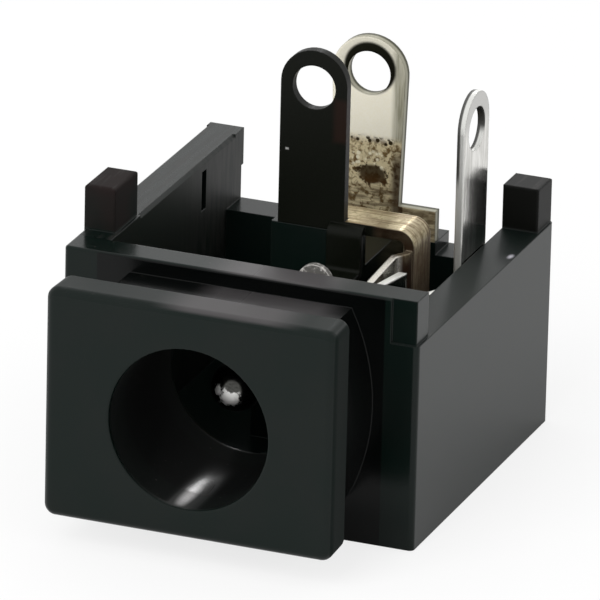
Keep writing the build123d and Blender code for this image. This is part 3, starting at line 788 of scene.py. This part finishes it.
# %% Pin terminal: the golden patch
golden = both(tree, spread(tree, place[2], FLUX_TOP + 0.15, FLUX_TOP - 0.35), face)
mottle = blotted(tree, size=0.24, level=0.44, softness=0.16, seed=11.0)
gold = blend(tree, mottle, FLUX_GOLD, FLUX_MOTTLE)
on_shoulder = spread(tree, place[0], lug_side, lug_side + 0.05)
dark_margin = combine(tree, "SUBTRACT", 0.85, both(tree, on_shoulder, 0.85))
dark_margin = both(tree, dark_margin, spread(tree, place[2], FLUX_TOP, FLUX_TOP - 1.2))
# painted reflection: the patch's right margin is painted darker above the shoulder
gold = blend(tree, both(tree, margin, dark_margin), gold, MARGIN_REFLECTION_BROWN)
gold = blend(tree, both(tree, on_shoulder, 0.6), gold, SHOULDER_GOLD)
colour = blend(tree, golden, colour, gold)
tell(tree, "golden patch")

# %% [markdown]
# Droplets are the cells of a Voronoi texture, because a plain noise has no round spots: near the middle of
# a cell its distance is small, and a cut at a level leaves a disc. A row of them is dark along the patch's
# top. A pale row over the large brown drop is painted glints. The drop is a round zone frayed by the same
# mottle.

# %% Pin terminal: a row of dark droplets and one large drop
DROPLETS_PER_MM = (4.2, 0.0, 4.2)
DROP_RADII = (0.80, FAR, 0.54)

droplets = {0: millimetres(tree), 1: DROPLETS_PER_MM}
droplets = add(tree, "VectorMath", droplets, operation="MULTIPLY").outputs[0]
droplets = {"Vector": droplets, "Scale": 1.0, "Randomness": 0.8}
droplets = add(tree, "TexVoronoi", droplets).outputs["Distance"]
spot_row = (-0.75, -FAR, FLUX_TOP - 0.30), (1.05, lug_face + 0.1, FLUX_TOP - 0.10)
spots = both(tree, spread(tree, droplets, 0.42, 0.30), zone_between(tree, *spot_row, softness=0.12))
colour = blend(tree, spots, colour, SPOT_BROWN)

frayed = spread(tree, mottle, 0.0, 1.0, 0.14, -0.14)
drop = both(tree, round_patch(tree, FLUX_DROP, DROP_RADII, softness=0.3, ragged=frayed), face)
brown = blend(tree, spread(tree, place[2], FLUX_DROP.z - 0.5, FLUX_DROP.z + 0.2), DROP_LOW, DROP_HIGH)
colour = blend(tree, both(tree, drop, 0.95), colour, brown)
tell(tree, "dark droplets and drop")

# %% Pin terminal: low bands and a row of painted glints
BAND_LINES = (0.7, 0.0, 6.0)

low_bands = spread(tree, place[2], pin_eye.z - 4.5, pin_eye.z - 4.7)
low_bands = both(tree, both(tree, low_bands, face), lined(tree, BAND_LINES, contrast=0.12))
colour = blend(tree, both(tree, low_bands, 0.7), colour, BAND_BROWN)

glint_row = (-0.5, -FAR, FLUX_DROP.z + 0.38), (0.9, lug_face + 0.1, FLUX_DROP.z + 0.85)
# painted highlight: a row of pale glints above the large drop
glints = both(tree, zone_between(tree, *glint_row, softness=0.2), spread(tree, droplets, 0.40, 0.28))
colour = blend(tree, both(tree, golden, glints), colour, GLINT_CREAM)
tell(tree, "bands and pale droplets")

# %% [markdown]
# The wire was soldered from above, so the flux burnt above the eye. The dark crescent is a disc a little
# larger than the eye and moved off its centre: the hole takes away the rest. A wider grey disc round the
# eye's top is painted shade on the tin.

# %% Pin terminal: burnt flux and painted shade round the eye
BURNT_RADII, RIM_SHADE_RADII = (1.14, FAR, 1.14), (1.75, FAR, 1.75)

burnt = both(tree, round_patch(tree, CRESCENT, BURNT_RADII, softness=0.14), face)
# painted shade: a wider grey disc round the top of the eye
rim_shade = both(tree, face, spread(tree, place[2], pin_eye.z - 0.6, pin_eye.z + 0.2))
rim_shade = both(tree, round_patch(tree, CRESCENT, RIM_SHADE_RADII, softness=0.37), rim_shade)
colour = blend(tree, both(tree, rim_shade, 0.5), colour, RIM_SHADE_GREY)
colour = blend(tree, both(tree, edges["Mask"], 0.35), colour, EDGE_GREY)
colour = blend(tree, both(tree, burnt, 0.98), colour, BURNT_BLACK)
tell(tree, "burnt flux")

# %% Pin terminal: gloss and relief
TIN_SATIN_LOW, TIN_SATIN_HIGH = 0.42, 0.52
FLUX_SMOOTHER = 0.15

flux = either(tree, drop, both(tree, golden, mottle))
metal = either(tree, spread(tree, golden, 0.0, 1.0, 0.3, 0.4), burnt)
metal = both(tree, metal, outside(tree, drop))
rough = noise_onto(tree, fine, TIN_SATIN_LOW, TIN_SATIN_HIGH)
rough = combine(tree, "SUBTRACT", rough, both(tree, flux, FLUX_SMOOTHER))
heights = combine(tree, "ADD", both(tree, fine, 0.3), both(tree, flux, 2.0))
bumps = relief(tree, heights, edges, strength=0.3, depth=0.012)
connect(tree, shader, Base_Color=colour, Roughness=rough, Metallic=metal, Normal=bumps)
tell(tree, "pin terminal")

# %% [markdown]
# ### Switch contact
# Bright plated spring metal is close to a mirror, so it is only colour, a little grain and clean tumbled
# edges. The sheared edges are rougher than the faces and so take light from all round, where a mirror
# would show the dark box. A thin dark line is painted down the left side of the sheet, below the eye.

# %% Switch contact: where it changes and its colours
switch_eye = mounts["switch_lug_eye"]
sheet_left = min(corner.x for corner in corners_of("switch_contact") if corner.z > switch_eye.z)
SILVER_DARK, SILVER_LIGHT = rgb(0.52, 0.51, 0.48), rgb(0.74, 0.73, 0.70)
SILVER_TOP = rgb(0.47, 0.465, 0.445)
SHEARED_SILVER = rgb(0.80, 0.80, 0.77)
LEFT_LINE_GREY = rgb(0.05, 0.05, 0.047)
EYE_GREY = rgb(0.09, 0.09, 0.085)
print("left face of the sheet", round(sheet_left, 2))

# %% Switch contact: colour
PULLED_LINES = (4.0, 5.0, 0.5)
EYE_RADII = (FAR, 0.95, 0.95)

tree, shader = material("bright_spring_metal", "switch_contact")
shader.inputs["Metallic"].default_value = 1.0
edges = place_group(tree, edge_wear, Radius=0.12)
fine = grained(tree, size=0.06)
place = place_axes(tree)
pulled = lined(tree, PULLED_LINES, contrast=0.2)
silver = blend(tree, spread(tree, pulled, 0.1, 0.9), SILVER_DARK, SILVER_LIGHT)
silver = blend(tree, spread(tree, place[2], switch_eye.z - 0.4, switch_eye.z + 0.6), silver, SILVER_TOP)
sheared = spread(tree, combine(tree, "ABSOLUTE", facing_axes(tree)[0]), 0.7, 0.4)
silver = blend(tree, sheared, silver, SHEARED_SILVER)
# a thin dark line painted down the sheet's left side, below the eye
left_line = spread(tree, place[0], sheet_left + 0.15, sheet_left + 0.09)
left_line = both(tree, left_line, spread(tree, place[2], switch_eye.z - 2.2, switch_eye.z - 1.4))
silver = blend(tree, both(tree, left_line, 0.9), silver, LEFT_LINE_GREY)
in_eye = both(tree, sheared, round_patch(tree, switch_eye, EYE_RADII, softness=0.05))
in_eye = both(tree, in_eye, spread(tree, place[2], switch_eye.z - 0.5, switch_eye.z - 0.1))
silver = blend(tree, in_eye, silver, EYE_GREY)
tell(tree, "silver")

# %% Switch contact: gloss and relief
BRIGHT_LOW, BRIGHT_HIGH = 0.11, 0.17
SHEARED_ROUGHER = 0.35

rough = noise_onto(tree, fine, BRIGHT_LOW, BRIGHT_HIGH)
rough = combine(tree, "ADD", rough, both(tree, sheared, SHEARED_ROUGHER))
heights = combine(tree, "ADD", both(tree, fine, 0.5), both(tree, pulled, 0.5))
connect(tree, shader, Base_Color=silver, Roughness=rough, Normal=relief(tree, heights, edges, strength=0.2))
tell(tree, "switch contact")

# %% [markdown]
# ### Centre pin
# The pin is turned on a lathe and plated. A grey film dulls its tip, and plugs have rubbed it away in two
# patches. A ragged round zone makes each patch; a noise on its own would scatter them all over.

# %% Centre pin: where it changes and its colours
pin_front = min(corner.y for corner in corners_of("centre_pin"))
FILM_DARK, FILM_LIGHT = rgb(0.03, 0.03, 0.027), rgb(0.09, 0.09, 0.084)
PLATING_DARK, PLATING_LIGHT = rgb(0.80, 0.79, 0.77), rgb(0.92, 0.91, 0.89)
print("pin tip", round(pin_front, 2), "mm behind the flange's face")

# %% Centre pin: film, plating and patches
LATHE_LINES = (0.6, 9.0, 0.6)
LOW_PATCH, LOW_RADII = (0.0, pin_front, -0.20), (0.56, FAR, 0.38)
SIDE_PATCH, SIDE_RADII = (-0.46, pin_front, 0.07), (0.17, FAR, 0.26)

tree, shader = material("plated_pin", "centre_pin")
shader.inputs["Metallic"].default_value = 1.0
fine = grained(tree, size=0.06)
turned = lined(tree, LATHE_LINES, contrast=0.15)
film = blend(tree, noise_onto(tree, fine, 0.0, 1.0), FILM_DARK, FILM_LIGHT)
plating = blend(tree, turned, PLATING_DARK, PLATING_LIGHT)
uneven = noise_onto(tree, grained(tree, size=0.25), -0.25, 0.25)
low_patch = round_patch(tree, LOW_PATCH, LOW_RADII, softness=0.35, ragged=uneven)
side_patch = round_patch(tree, SIDE_PATCH, SIDE_RADII, softness=0.4, ragged=uneven)
polished = either(tree, low_patch, side_patch)
shank = spread(tree, place_axes(tree)[1], pin_front + 1.0, pin_front + 2.0)
silver = blend(tree, either(tree, polished, shank), film, plating)
tell(tree, "film and plating")

# %% Centre pin: gloss and relief
PLATED_LOW, PLATED_HIGH = 0.14, 0.22
RUBBED_ROUGHER = 0.3

edges = place_group(tree, edge_wear, Radius=0.08)
rough = noise_onto(tree, fine, PLATED_LOW, PLATED_HIGH)
rough = combine(tree, "ADD", rough, both(tree, polished, RUBBED_ROUGHER))
connect(tree, shader, Base_Color=silver, Roughness=rough, Normal=relief(tree, fine, edges, strength=0.15))
tell(tree, "centre pin")
